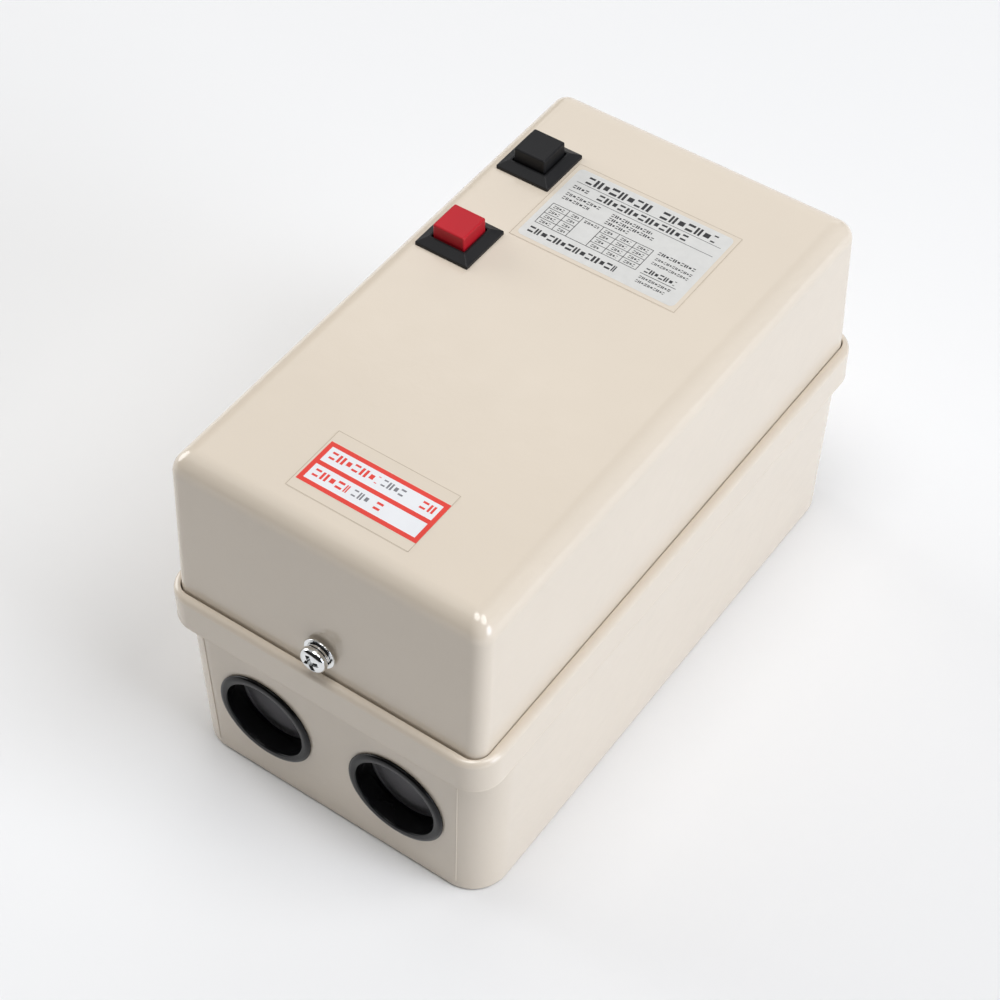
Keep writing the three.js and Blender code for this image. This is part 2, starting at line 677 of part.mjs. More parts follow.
function relayLid() {
  const { x, width, high } = RELAY;
  const lid = span(x - width / 2, x + width / 2, RELAY_BODY_FRONT, RELAY_Y.back, RELAY_LID.low, high);
  return cut(
    lid,
    rodZ(DIAL.radius + 0.3, 9, DIAL.x, DIAL.y, high - 6, 24),
    rodZ(RESET.radius + 0.3, 9, RESET.x, RESET.y, high - 6),
  );
}

// One conductor: the pin to the contactor, the bimetal that it heats, and the load end.
function heater(px) {
  const { thick, width, y, low, end } = HEATER;
  const pinTip = CONTACTOR.y - 27.3;
  const outline = [
    [pinTip, PIN.z],
    [pinTip, PIN.z + PIN.thick],
    [y - thick / 2, PIN.z + PIN.thick],
    [y - thick / 2, low + thick],
    [end, low + thick],
    [end, low],
    [y + thick / 2, low],
    [y + thick / 2, PIN.z],
  ];
  const strip = slab(outline, width, px);
  return cut(
    strip,
    rodZ(SCREW_HOLE, 6, px, RELAY_Y.front + 6, low - 2, 12),
    rodZ(SCREW_HOLE, 6, px, CONTACTOR.y - 31, PIN.z - 2, 12),
  );
}

add("relay_housing", geometryOf(relayHousing()), MATERIAL.housing, relay);
add("relay_lid", geometryOf(relayLid()), MATERIAL.cap, relay);
POLES.forEach((px, i) => {
  add(`relay_heater_${i + 1}`, geometryOf(heater(px)), MATERIAL.brass, relay);
  const top = HEATER.low + HEATER.thick + FIT;
  add(`relay_screw_${i + 1}`, terminalScrew(px, RELAY_Y.front + 6, top), MATERIAL.zinc, relay);
});

// The dial that sets the trip current, with a screwdriver slot.
const dial = cut(
  rodZ(DIAL.radius, 6, DIAL.x, DIAL.y, RELAY.high - 4.5, 24),
  block(1.4, 9, 2, DIAL.x, DIAL.y, RELAY.high + 0.4),
);
add("current_dial", geometryOf(dial), MATERIAL.label, relay);

const reset = join(
  rodZ(RESET.radius, 14, RESET.x, RESET.y, RELAY.high - 11, 20),
  rodZ(RESET.radius + 1.2, 2, RESET.x, RESET.y, RELAY_LID.low - FIT - 2, 20),
);
add("reset_button", geometryOf(reset), MATERIAL.redPlastic, relay);

// The bar that the bending bimetals push.
const tripBar = block(38, 5, 2.4, RELAY.x, HEATER.y - HEATER.thick / 2 - 0.5 - 2.5, 44);
add("trip_bar", geometryOf(tripBar), MATERIAL.bobbin, relay);

// ---- Push-button switches on their bracket ----

const switches = new THREE.Group();
starter.add(switches);
const BRACKET = { left: -45.2, right: -24, thick: 1.5, front: 3, back: 71, foot: 12 };

// A bracket bent into a C: a foot on the floor, a web beside the wall, and a shelf.
function bracket() {
  const { left, right, thick, front, back, foot } = BRACKET;
  const shelf = SWITCH.low - FIT;
  const floor = WALL + FIT;
  return join(
    span(left, left + foot, front, back, floor, floor + thick),
    span(left, left + thick, front, back, floor, shelf),
    span(left, right, front, back, shelf - thick, shelf),
  );
}

add("switch_bracket", geometryOf(bracket()), MATERIAL.zinc, switches);

function switchBlock(y) {
  const { width, length, low, high, plunger } = SWITCH;
  const terminals = [-length / 2, length / 2].map((dy) =>
    block(width - 6, 4, 8, BUTTON_X, y + dy, low + 3),
  );
  const body = join(block(width, length, high - low, BUTTON_X, y, low), ...terminals);
  return cut(body, rodZ(plunger + 0.3, 12, BUTTON_X, y, high - 8));
}

// The switch's own plunger, just under the button's stem.
const plungerPin = (y) => rodZ(SWITCH.plunger, 8.5, BUTTON_X, y, BUTTON.low - 0.5 - 8.5, 16);

for (const [name, y] of Object.entries(BUTTON_Y)) {
  add(`${name}_switch_block`, geometryOf(switchBlock(y)), MATERIAL.housing, switches);
  add(`${name}_switch_plunger`, geometryOf(plungerPin(y)), MATERIAL.bobbin, switches);
}

// ---- Control wire, from the stop switch to the contactor's coil ----

const WIRE = 1.1;
const ROUTE = [
  [-34.8, 4.2, 57],
  [-34.8, 0, 57],
  [-30, -4, 55],
  [-20, -6, 42],
  [-14, -4, 32],
  [-11.5, 4, 26],
  [-9.5, 12, 24],
  [-7.6, 12.5, 24],
].map((point) => new THREE.Vector3(...point));
const path = new THREE.CatmullRomCurve3(ROUTE, false, "centripetal");
add("coil_wire", tube(path, WIRE, 24, 8), MATERIAL.wire);

export default starter;
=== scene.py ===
"""Looks of the enclosed magnetic motor starter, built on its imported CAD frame.

Shapes are given in millimetres. Bump depths, lights and the camera are in metres.
"""

import math

import bmesh
import bpy
from mathutils import Matrix, Vector


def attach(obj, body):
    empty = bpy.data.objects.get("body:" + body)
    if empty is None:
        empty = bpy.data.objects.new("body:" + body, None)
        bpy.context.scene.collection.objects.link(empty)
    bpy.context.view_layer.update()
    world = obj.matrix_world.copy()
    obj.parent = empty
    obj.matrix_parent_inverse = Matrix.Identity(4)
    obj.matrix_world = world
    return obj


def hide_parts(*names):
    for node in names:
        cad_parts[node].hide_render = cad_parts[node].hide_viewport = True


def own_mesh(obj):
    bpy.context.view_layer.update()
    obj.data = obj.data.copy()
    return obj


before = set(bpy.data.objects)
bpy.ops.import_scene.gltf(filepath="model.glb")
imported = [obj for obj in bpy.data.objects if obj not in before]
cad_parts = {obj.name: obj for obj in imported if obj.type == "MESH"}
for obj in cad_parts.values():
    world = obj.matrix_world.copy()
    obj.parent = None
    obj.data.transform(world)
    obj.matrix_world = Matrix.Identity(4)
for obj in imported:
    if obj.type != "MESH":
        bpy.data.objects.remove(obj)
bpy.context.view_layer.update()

MM = 0.001
CORNER_STEPS = 18  # steps round each corner of a moulding
SMALLEST_CORNER = 0.05
ON_AXIS = 1e-6  # a turned point nearer to its axis than this lies on it
TAU = 2 * math.pi


# ---------------------------------------------------------------- materials


def node_material(name, color, rough, metal=0.0):
    """A material with a Principled shader; returns it, its tree and the shader."""
    mat = bpy.data.materials.new(name)
    mat.use_nodes = True
    tree = mat.node_tree
    shader = tree.nodes["Principled BSDF"]
    shader.inputs["Base Color"].default_value = (*color, 1)
    shader.inputs["Roughness"].default_value = rough
    shader.inputs["Metallic"].default_value = metal
    return mat, tree, shader


def noise(tree, scale, detail=2.0, stretch=None):
    """A noise texture in the object's own frame, whose scale is in features per metre."""
    coords = tree.nodes.new("ShaderNodeTexCoord")
    source = coords.outputs["Object"]
    if stretch:
        mapping = tree.nodes.new("ShaderNodeMapping")
        mapping.inputs["Scale"].default_value = stretch
        tree.links.new(source, mapping.inputs["Vector"])
        source = mapping.outputs["Vector"]
    made = tree.nodes.new("ShaderNodeTexNoise")
    made.inputs["Scale"].default_value = scale
    made.inputs["Detail"].default_value = detail
    tree.links.new(source, made.inputs["Vector"])
    return made.outputs["Fac"]


def spread(tree, source, low, high):
    """Maps the middle of a noise's range to low..high."""
    node = tree.nodes.new("ShaderNodeMapRange")
    node.inputs["From Min"].default_value = 0.3
    node.inputs["From Max"].default_value = 0.7
    node.inputs["To Min"].default_value = low
    node.inputs["To Max"].default_value = high
    tree.links.new(source, node.inputs["Value"])
    return node.outputs["Result"]


def vary_color(tree, shader, color, amount, scale, tint=(1, 1, 1)):
    """Mottles the base colour between two near shades."""
    mix = tree.nodes.new("ShaderNodeMix")
    mix.data_type = "RGBA"
    mix.inputs["A"].default_value = (*[c * (1 - amount) * t for c, t in zip(color, tint)], 1)
    mix.inputs["B"].default_value = (*[min(1, c * (1 + amount)) for c in color], 1)
    tree.links.new(spread(tree, noise(tree, scale, 4), 0, 1), mix.inputs["Factor"])
    tree.links.new(mix.outputs["Result"], shader.inputs["Base Color"])


def bump(tree, shader, layers):
    """Adds bump layers of (features per metre, depth in metres, stretch)."""
    normal = None
    for scale, depth, stretch in layers:
        node = tree.nodes.new("ShaderNodeBump")
        node.inputs["Distance"].default_value = depth
        tree.links.new(noise(tree, scale, 2, stretch), node.inputs["Height"])
        if normal:
            tree.links.new(normal, node.inputs["Normal"])
        normal = node.outputs["Normal"]
    tree.links.new(normal, shader.inputs["Normal"])


def finish(
    name, color, rough, metal=0.0, mottle=0.04, mottle_scale=60, rough_scale=120, layers=(), **inputs
):
    """A material with mottled colour, roughness between the two of rough, and bump."""
    low, high = rough
    mat, tree, shader = node_material(name, color, low, metal)
    vary_color(tree, shader, color, mottle, mottle_scale)
    tree.links.new(spread(tree, noise(tree, rough_scale, 3), low, high), shader.inputs["Roughness"])
    if layers:
        bump(tree, shader, layers)
    for key, value in inputs.items():
        shader.inputs[key.replace("_", " ")].default_value = value
    return mat


WAVY = (160, 0.00006, None)  # slow waves of a moulding
PEEL = (900, 0.000012, None)  # fine orange peel
GRAIN = (5000, 0.00001, None)
FILM_WAVES = (300, 0.00001, None)
PRINT_GRAIN = (2500, 0.000004, None)
PLATED = (1500, 0.000012, None)
DRAWN = (4000, 0.000005, None)
BRUSHED = (2500, 0.000008, (1, 0.08, 1))
CORE_SHEETS = (2200, 0.00006, (1, 0.02, 0.02))
MATERIALS = {
    "enclosure": finish("enclosure_plastic", (0.715, 0.628, 0.52), (0.13, 0.2), mottle=0.012,
                        mottle_scale=25, layers=(WAVY, PEEL), Specular_IOR_Level=0.75),
    "black": finish("black_plastic", (0.01, 0.01, 0.011), (0.38, 0.5), mottle=0.15,
                    layers=(PEEL, GRAIN), Specular_IOR_Level=0.28),
    "red": finish("red_plastic", (0.5, 0.01, 0.02), (0.36, 0.46), mottle=0.06, layers=(PEEL, GRAIN),
                  Specular_IOR_Level=0.35),
    "rubber": finish("rubber", (0.006, 0.006, 0.0065), (0.14, 0.22), mottle=0.2, layers=(PEEL,),
                     Specular_IOR_Level=0.24),
    "membrane": finish("rubber_skin", (0.13, 0.127, 0.134), (0.5, 0.62), mottle=0.15, layers=(GRAIN,)),
    "zinc": finish("zinc", (0.78, 0.79, 0.79), (0.07, 0.16), 1.0, mottle=0.05, mottle_scale=600,
                   rough_scale=900, layers=(PLATED,)),
    "film": finish("clear_film", (0.7, 0.617, 0.512), (0.18, 0.24), mottle=0.01, layers=(FILM_WAVES,)),
    # The film edge colour is a darker copy of the clear film's beige: painted shade for the dark line along
    # each film's edge.
    "film_edge_shade": finish("film_edge_shade", (0.46, 0.38, 0.29), (0.2, 0.3), mottle=0.05, layers=(FILM_WAVES,)),
    "silver_print": finish("silver_print", (0.68, 0.675, 0.655), (0.3, 0.38), 0.1, mottle=0.03,
                           mottle_scale=400, layers=(PRINT_GRAIN,)),
    "white_print": finish("white_print", (0.79, 0.8, 0.82), (0.3, 0.38), mottle=0.02,
                          layers=(PRINT_GRAIN,)),
    "ink": finish("black_ink", (0.02, 0.02, 0.022), (0.35, 0.45), mottle=0.1),
    "grey_ink": finish("grey_ink", (0.2, 0.2, 0.22), (0.35, 0.45), mottle=0.15, mottle_scale=900),
    "red_ink": finish("red_ink", (0.74, 0.05, 0.035), (0.32, 0.42), mottle=0.05),
    "spring": finish("spring_wire", (0.55, 0.55, 0.55), (0.2, 0.32), 1.0, layers=(DRAWN,)),
    "steel": finish("zinc_sheet", (0.68, 0.68, 0.64), (0.26, 0.4), 1.0, mottle=0.08, mottle_scale=200,
                    layers=(BRUSHED,)),
    "brass": finish("brass", (0.72, 0.5, 0.2), (0.22, 0.36), 1.0, mottle=0.1, mottle_scale=300,
                    layers=(BRUSHED,)),
    "dark": finish("dark_phenolic", (0.028, 0.028, 0.031), (0.42, 0.56), mottle=0.2, mottle_scale=90,
                   layers=(PEEL, GRAIN)),
    "pale": finish("pale_moulding", (0.62, 0.59, 0.5), (0.4, 0.52), mottle=0.03, layers=(PEEL, GRAIN)),
    "iron": finish("core_sheets", (0.3, 0.28, 0.26), (0.35, 0.5), 1.0, mottle=0.25, mottle_scale=500,
                   layers=(CORE_SHEETS,)),
    "bobbin": finish("cream_moulding", (0.66, 0.6, 0.46), (0.42, 0.54), mottle=0.04, layers=(PEEL, GRAIN)),
    "winding": finish("enamelled_wire", (0.36, 0.09, 0.03), (0.2, 0.32), mottle=0.15, mottle_scale=400,
                      Coat_Weight=0.4),
    "silver": finish("contact_metal", (0.72, 0.72, 0.7), (0.2, 0.34), 1.0, mottle=0.08, mottle_scale=600),
    "wire": finish("yellow_insulation", (0.66, 0.42, 0.03), (0.34, 0.44), mottle=0.05, layers=(PEEL,)),
    "dial": finish("dial_plastic", (0.8, 0.79, 0.76), (0.34, 0.44), mottle=0.02, layers=(PEEL, GRAIN)),
}


# ---------------------------------------------------------------- meshes


def shade(obj, angle=32):
    """Smooth shading, with edges over the angle left sharp."""
    obj.data.polygons.foreach_set("use_smooth", [True] * len(obj.data.polygons))
    obj.data.set_sharp_from_angle(angle=math.radians(angle))
    weights = obj.modifiers.new("weighted", "WEIGHTED_NORMAL")
    weights.keep_sharp = True


def mesh_object(name, vertices, faces, materials=(), indices=None):
    """A mesh object in metres, from points in millimetres."""
    data = bpy.data.meshes.new(name)
    data.from_pydata([Vector(v) * MM for v in vertices], [], faces)
    for m in materials:
        data.materials.append(MATERIALS[m])
    if indices:
        data.polygons.foreach_set("material_index", indices)
    data.validate()
    obj = bpy.data.objects.new(name, data)
    bpy.context.scene.collection.objects.link(obj)
    return obj


def piece(obj, body, stands_for=(), angle=32):
    """Shades a finished object and puts it on its body."""
    shade(obj, angle)
    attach(obj, body)
    if stands_for:
        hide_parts(*stands_for)
    return obj


def ring(w, l, r, z, steps=CORNER_STEPS):
    """The outline of a rectangle with round corners at height z."""
    points = []
    for quarter, (sx, sy) in enumerate(((1, -1), (1, 1), (-1, 1), (-1, -1))):
        for i in range(steps + 1):
            a = (quarter - 1 + i / steps) * math.pi / 2
            points.append((sx * (w / 2 - r) + r * math.cos(a), sy * (l / 2 - r) + r * math.sin(a), z))
    return points


def loft(name, sections, materials=(), steps=CORNER_STEPS, at=(0, 0, 0)):
    """A closed solid through rings of (width, length, corner, height), capped at both ends."""
    rings = [ring(*s, steps) for s in sections]
    n = len(rings[0])
    vertices = [tuple(c + o for c, o in zip(p, at)) for one in rings for p in one]
    faces = []
    for i in range(len(rings) - 1):
        for j in range(n):
            a, b = i * n + j, i * n + (j + 1) % n
            faces.append((a, b, b + n, a + n))
    last = (len(rings) - 1) * n
    faces.append(tuple(reversed(range(n))))
    faces.append(tuple(range(last, last + n)))
    return mesh_object(name, vertices, faces, materials)


def edge(w, l, r, z, inset, rise, steps, start=0, end=90, side=None):
    """Rings that round an edge, from angle start to end, where 0 is the wall and 90 the flat."""
    side = inset if side is None else side
    rings = []
    for i in range(steps + 1):
        a = math.radians(start + (end - start) * i / steps)
        k = 1 - math.cos(a)
        corner = max(r - min(side, inset) * k, SMALLEST_CORNER)
        rings.append((w - 2 * side * k, l - 2 * inset * k, corner, z + rise * math.sin(a)))
    return rings


def arc(cx, cy, radius, start, end, steps):
    """Points round an arc of a turned profile, as (radius, height)."""
    return [
        (cx + radius * math.cos(math.radians(a)), cy + radius * math.sin(math.radians(a)))
        for a in (start + (end - start) * i / steps for i in range(steps + 1))
    ]


def turned(name, profile, materials=(), segments=96, matrix=None, index_of=None):
    """A solid turned about Z from (radius, height) points, closed on the axis or on itself."""
    vertices, rows = [], []
    for r, h in profile:
        if r < ON_AXIS:
            rows.append([len(vertices)] * segments)
            vertices.append((0, 0, h))
        else:
            rows.append(list(range(len(vertices), len(vertices) + segments)))
            angles = [TAU * i / segments for i in range(segments)]
            vertices += [(r * math.cos(a), r * math.sin(a), h) for a in angles]
    faces, indices = [], []
    for k in range(len(rows) - 1):
        for i in range(segments):
            j = (i + 1) % segments
            face = []
            for v in (rows[k][i], rows[k][j], rows[k + 1][j], rows[k + 1][i]):
                if v not in face:
                    face.append(v)
            if len(face) > 2:
                faces.append(face)
                indices.append(index_of(k) if index_of else 0)
    if matrix is not None:
        vertices = [tuple(matrix @ Vector(v)) for v in vertices]
    return mesh_object(name, vertices, faces, materials, indices)


def box(name, low, high, bevel=0.0):
    """A box between two corners, with rounded edges where a bevel is given."""
    size = [h - l for l, h in zip(low, high)]
    mid = [(h + l) / 2 for l, h in zip(low, high)]
    made = bmesh.new()
    bmesh.ops.create_cube(made, size=1)
    bmesh.ops.scale(made, vec=[s * MM for s in size], verts=made.verts)
    if bevel:
        bmesh.ops.bevel(
            made, geom=made.edges[:], offset=bevel * MM, segments=2, affect="EDGES", profile=0.5
        )
    bmesh.ops.translate(made, vec=[m * MM for m in mid], verts=made.verts)
    data = bpy.data.meshes.new(name)
    made.to_mesh(data)
    made.free()
    obj = bpy.data.objects.new(name, data)
    bpy.context.scene.collection.objects.link(obj)
    return obj


def join(name, objects):
    """One object from several, with their materials kept."""
    bpy.ops.object.select_all(action="DESELECT")
    for o in objects:
        o.select_set(True)
    bpy.context.view_layer.objects.active = objects[0]
    bpy.ops.object.join()
    objects[0].name = objects[0].data.name = name
    return objects[0]


def combine(target, others, operation):
    """Cuts or adds solids, and applies the result."""
    for other in others:
        modifier = target.modifiers.new("solid", "BOOLEAN")
        modifier.object = other
        modifier.operation = operation
        modifier.solver = "EXACT"
    bpy.context.view_layer.update()
    graph = bpy.context.evaluated_depsgraph_get()
    made = bpy.data.meshes.new_from_object(target.evaluated_get(graph))
    target.modifiers.clear()
    target.data = made
    for other in others:
        bpy.data.objects.remove(other)
    return target


def along_y(x, y, z, sign=1):
    """Turns a +Z axis to +Y or, with sign -1, to -Y, and moves it to a point."""
    return Matrix.Translation((x, y, z)) @ Matrix.Rotation(-sign * math.pi / 2, 4, "X")


def rod(name, radius, low, high, matrix, segments=96):
    """A plain cylinder along the matrix's Z axis."""
    profile = [(0, low), (radius, low), (radius, high), (0, high)]
    return turned(name, profile, segments=segments, matrix=matrix)


def tube(name, points, radius, materials, sides):
    """A round wire along points."""
    points = [Vector(p) for p in points]
    vertices, faces = [], []
    across = None
    for i, p in enumerate(points):
        ahead = points[min(i + 1, len(points) - 1)] - points[max(i - 1, 0)]
        ahead.normalize()
        if across is None:
            across = ahead.orthogonal().normalized()
        across = (across - ahead * across.dot(ahead)).normalized()
        other = ahead.cross(across)
        for k in range(sides):
            a = TAU * k / sides
            vertices.append(p + (across * math.cos(a) + other * math.sin(a)) * radius)
    for i in range(len(points) - 1):
        for k in range(sides):
            a, b = i * sides + k, i * sides + (k + 1) % sides
            faces.append((a, b, b + sides, a + sides))
    last = (len(points) - 1) * sides
    faces.append(tuple(reversed(range(sides))))
    faces.append(tuple(range(last, last + sides)))
    return mesh_object(name, vertices, faces, materials)


# ---------------------------------------------------------------- enclosure base

ENTRY_X, ENTRY_Z, ENTRY_R = 22, 27.6, 14
BOTTOM = (99.7, 181, 11)  # width, length and corner radius of the base at its foot
UNDER_RIM = (103.8, 181.2, 12.5)  # the same under its rim
RIM = (104.6, 187.2, 9)
SEAT = (99.05, 182.1, 4.65)  # the pocket in the rim that takes the cover
RIM_LOW, RIM_HIGH = 53.7, 65.5
LEDGE = 60  # height of the ledge that the cover stands over
HOOK_X = 26  # middle of each of the cover's two hooks
PADS = ((1, 4), (31, 68), (1, -37.5))  # under the contactor and the relay
WALL_HOLES = ((0, 81.5, 2.6), (0, 75, 4.8), (-38, -76, 2.6), (38, -76, 2.6))  # x, y and radius
TAB_SCREW_Z = 43


def wall_section(z):
    """The base's outline at height z, below its rim."""
    share = (z - 1) / RIM_LOW
    return tuple(a + (b - a) * share for a, b in zip(BOTTOM, UNDER_RIM))


END_Y = wall_section(ENTRY_Z)[1] / 2  # outer face of the base's ends at the entries


def base_sections():
    """The base's rings: up its outside, over its rim, and down its inside."""
    foot = 1.1
    sections = [(w, l, r, 2 * foot - z) for w, l, r, z in edge(*BOTTOM, foot, foot, foot, 6, 90, 0)]
    w, l, r = wall_section(52.9)
    sections += [(w, l, r, 52.9), (w + 0.06, l + 0.3, r - 0.1, 53.35), (w + 0.16, l + 1.1, r - 0.5, 53.6)]
    w, l, r = RIM
    sections += [(w - 0.3, l - 1.5, r + 0.8, RIM_LOW), (w - 0.1, l - 0.4, r + 0.2, RIM_LOW + 0.12)]
    # the mould's flash, a fine ridge round the rim's lower edge
    sections += [(w + 0.12, l + 0.12, r + 0.06, RIM_LOW + 0.3), (w + 0.2, l + 0.2, r + 0.1, RIM_LOW + 0.42),
                 (w + 0.12, l + 0.12, r + 0.06, RIM_LOW + 0.62), (w, l, r, RIM_LOW + 0.78)]
    sections += edge(w, l, r, RIM_HIGH - 1.8, 1.8, 1.8, 10)
    w, l, r = SEAT
    sections += [(w + 0.6, l + 0.6, r + 0.3, RIM_HIGH), (w + 0.15, l + 0.15, r + 0.08, RIM_HIGH - 0.12),
                 (w, l, r, RIM_HIGH - 0.45), (w, l, r, LEDGE + 0.2), (w - 0.3, l - 0.3, r - 0.1, LEDGE)]
    sections += [(97.4, 176.5, 8.1, LEDGE), (96.9, 176, 8, LEDGE - 0.4), (93.85, 175.05, 8, 5.6)]
    for angle in (0.3, 0.6, 0.9, 1.2, math.pi / 2):
        k = 1 - math.cos(angle)
        sections.append((93.8 - 3.2 * k, 175 - 3.2 * k, 8 - 1.6 * k, 5.2 - 2.2 * math.sin(angle)))
    return sections


def make_base():
    """The box that stands on the wall, with its pads, cable entries, knock-outs and screw holes."""
    body = loft("enclosure_base", base_sections(), ["enclosure"])
    pads = []
    pad = [(0, 2), (5.6, 2), (5.6, 3), (4.9, 3.25), (4.5, 3.8), (4.5, 4.5), (4.3, 4.7), (0, 4.7)]
    for x, y in PADS:
        pads.append(turned("pad", pad, matrix=Matrix.Translation((x, y, 0)), segments=48))
    pads.append(box("pad", (-6, -88.5, 36), (6, -86.8, 50), bevel=0.3))
    combine(body, pads, "UNION")
    cutters = []
    groove = [(ENTRY_R - 1.2, -1), (ENTRY_R, -1), (ENTRY_R, 0.7), (ENTRY_R - 0.5, 1.2)]
    groove += [(ENTRY_R - 0.7, 1.2), (ENTRY_R - 1.2, 0.7), (ENTRY_R - 1.2, -1)]
    for side in (-1, 1):
        cutters.append(rod("cut", ENTRY_R, -2, 8, along_y(side * ENTRY_X, -END_Y, ENTRY_Z)))
        cutters.append(turned("cut", groove, matrix=along_y(side * ENTRY_X, END_Y, ENTRY_Z, -1)))
        x = side * HOOK_X
        cutters.append(box("cut", (x - 5.5, 87.8, 51.5), (x + 5.5, 89.6, 57)))
    for x, y, r in WALL_HOLES:
        cutters.append(rod("cut", r, -1, 4, Matrix.Translation((x, y, 0)), 64))
    cutters.append(rod("cut", 1.65, -3.6, 4, along_y(0, -86.5, TAB_SCREW_Z), 32))
    combine(body, cutters, "DIFFERENCE")
    return piece(body, "enclosure", ["base"])


make_base()


def make_parting_lines():
    """Fine ridges that the mould left down the lower and upper ends."""
    ridges = []
    half, proud, sunk, steps = 0.2, 0.16, 0.3, 10
    low, high = 3.2, 52.4
    foot_x, lean = 40.8, 1.3
    for side in (-1, 1):
        for end in (-1, 1):
            vertices, faces = [], []
            for i in range(steps + 1):
                z = low + (high - low) * i / steps
                x = foot_x + lean * i / steps
                w, l, r = wall_section(z)
                off_flat = max(x - (w / 2 - r), 0)
                y = l / 2 - r + math.sqrt(r * r - off_flat * off_flat)
                for dx, dy in ((-half, -sunk), (half, -sunk), (half * 0.4, proud), (-half * 0.4, proud)):
                    vertices.append((side * (x + dx), end * (y + dy), z))
            for i in range(steps):
                for j in range(4):
                    a, b = i * 4 + j, i * 4 + (j + 1) % 4
                    faces.append((a, b, b + 4, a + 4))
            last = steps * 4
            faces += [(3, 2, 1, 0), (last, last + 1, last + 2, last + 3)]
            if side * end < 0:
                faces = [tuple(reversed(f)) for f in faces]
            ridges.append(mesh_object("ridge", vertices, faces, ["enclosure"]))
    piece(join("mould_parting_lines", ridges), "enclosure")


make_parting_lines()


def make_plug(name, side):
    """A rubber blanking plug: a rolled lip, a deep cup, and a thin skin across its inner end."""
    profile = [(0, -7.5), (11.5, -7.5), (13.1, -7.2)]
    profile += [(14.6, -4.2), (14.6, -3.3), (13.7, -3.1), (13.7, 0.1), (15.2, 0.04)]
    profile += arc(15.05, 0.42, 0.45, -50, 50, 6)
    profile += arc(14.1, -0.9, 2.15, 62, 100, 6)
    profile += arc(13.3, 0.75, 0.45, 100, 180, 6)
    profile += [(12.72, 0.1), (12.5, -4.6)]
    lip = len(profile)
    profile += arc(11.9, -5.6, 0.6, 0, -90, 4)
    profile += [(9.6, -6.2)] + arc(9.3, -5.9, 0.3, -80, 90, 4)[1:] + [(8.6, -5.6), (0, -5.6)]
    place = along_y(side * ENTRY_X, -END_Y, ENTRY_Z, -1)
    return turned(name, profile, ["rubber", "membrane"], matrix=place, index_of=lambda k: int(k >= lip))


for name, side in (("left_plug_rubber", -1), ("right_plug_rubber", 1)):
    piece(make_plug(name, side), "enclosure", [name.replace("plug_rubber", "cable_plug")], 40)


# ---------------------------------------------------------------- cover

TOP = 114.5
CONTACTOR_AT = (16, 36)  # the contactor's middle line
BUTTON_X = -34.8
BUTTON_Y = {"start": 55.7, "stop": 18.0}
BUTTON_HOLE = 15.2
SCREW_Z, WASHER_Y = 73.9, -90.8  # the cover screw's middle line, and the face under its washers
COVER_FOOT = (98.8, 181.8, 4.5)  # width, length and corner radius of the cover at its open edge
COVER_SHOULDER = (98.4, 176.2, 4.5)  # the same where its top edge starts to round
ROUND = 6.8  # radius of the cover's top edge
SHELL = 2.5  # thickness of its wall


def rounded_top(w, l, corner, radius, top, steps):
    """Rings over the cover's shoulder, whose corner radius shrinks to nearly nothing on the top face."""
    rings = []
    for i in range(steps + 1):
        a = math.pi / 2 * i / steps
        k = 1 - math.cos(a)
        shrunk = corner * (1 - k) + 0.3 * k
        height = top - radius + radius * math.sin(a)
        rings.append((w - 2 * radius * k, l - 2 * radius * k, shrunk, height))
    return rings


def make_cover():
    """The lid, with its two hooks, its button holes and its screw hole."""
    w, l, r = COVER_SHOULDER
    inner = rounded_top(w - 2 * SHELL, l - 2 * SHELL, r - SHELL, ROUND - SHELL, TOP - SHELL, 8)
    sections = list(reversed(inner))
    w, l, r = COVER_FOOT
    inner_edge = ((SHELL, 60.75), (SHELL - 0.25, 60.4), (SHELL - 0.5, 60.3))
    outer_edge = ((0.45, 60.3), (0.12, 60.45), (0, 60.8))
    for inset, z in inner_edge + outer_edge:
        sections.append((w - 2 * inset, l - 2 * inset, r - inset, z))
    sections += rounded_top(*COVER_SHOULDER, ROUND, TOP, 18)
    body = loft("enclosure_cover", sections, ["enclosure"])
    hooks = []
    for side in (-1, 1):
        x = side * HOOK_X
        hooks.append(box("hook", (x - 5, 85.2, 53.8), (x + 5, 87.4, 72), bevel=0.25))
        hooks.append(box("hook", (x - 5, 86.5, 53.8), (x + 5, 89.1, 55.6), bevel=0.2))
        hooks.append(box("hook", (x - 5, 86, 62), (x + 5, 88.4, 72)))
    combine(body, hooks, "UNION")
    hole = [(BUTTON_HOLE, BUTTON_HOLE, 0.8, z) for z in (106, 120)]
    cutters = [loft("cut", hole, steps=4, at=(BUTTON_X, y, 0)) for y in BUTTON_Y.values()]
    cutters.append(rod("cut", 2.3, -4, 4, along_y(0, -90, SCREW_Z), 48))
    combine(body, cutters, "DIFFERENCE")
    return piece(body, "cover", ["cover"])


make_cover()


FILM_Z = TOP + 0.08  # face of each clear film
PRINT_Z = TOP + 0.1  # face of the printed sheet on it
INK = 0.015  # how thick a printed bar is


def label_bars(name, material, bars, z):
    """Thin printed bars on the cover, each (low x, high x, low y, high y)."""
    vertices, faces = [], []
    for x0, x1, y0, y1 in bars:
        n = len(vertices)
        for h in (z, z + INK):
            vertices += [(x0, y0, h), (x1, y0, h), (x1, y1, h), (x0, y1, h)]
        faces += [(n + 3, n + 2, n + 1, n), (n + 4, n + 5, n + 6, n + 7), (n, n + 1, n + 5, n + 4),
                  (n + 1, n + 2, n + 6, n + 5), (n + 2, n + 3, n + 7, n + 6), (n + 3, n, n + 4, n + 7)]
    return piece(mesh_object(name, vertices, faces, [material]), "cover")


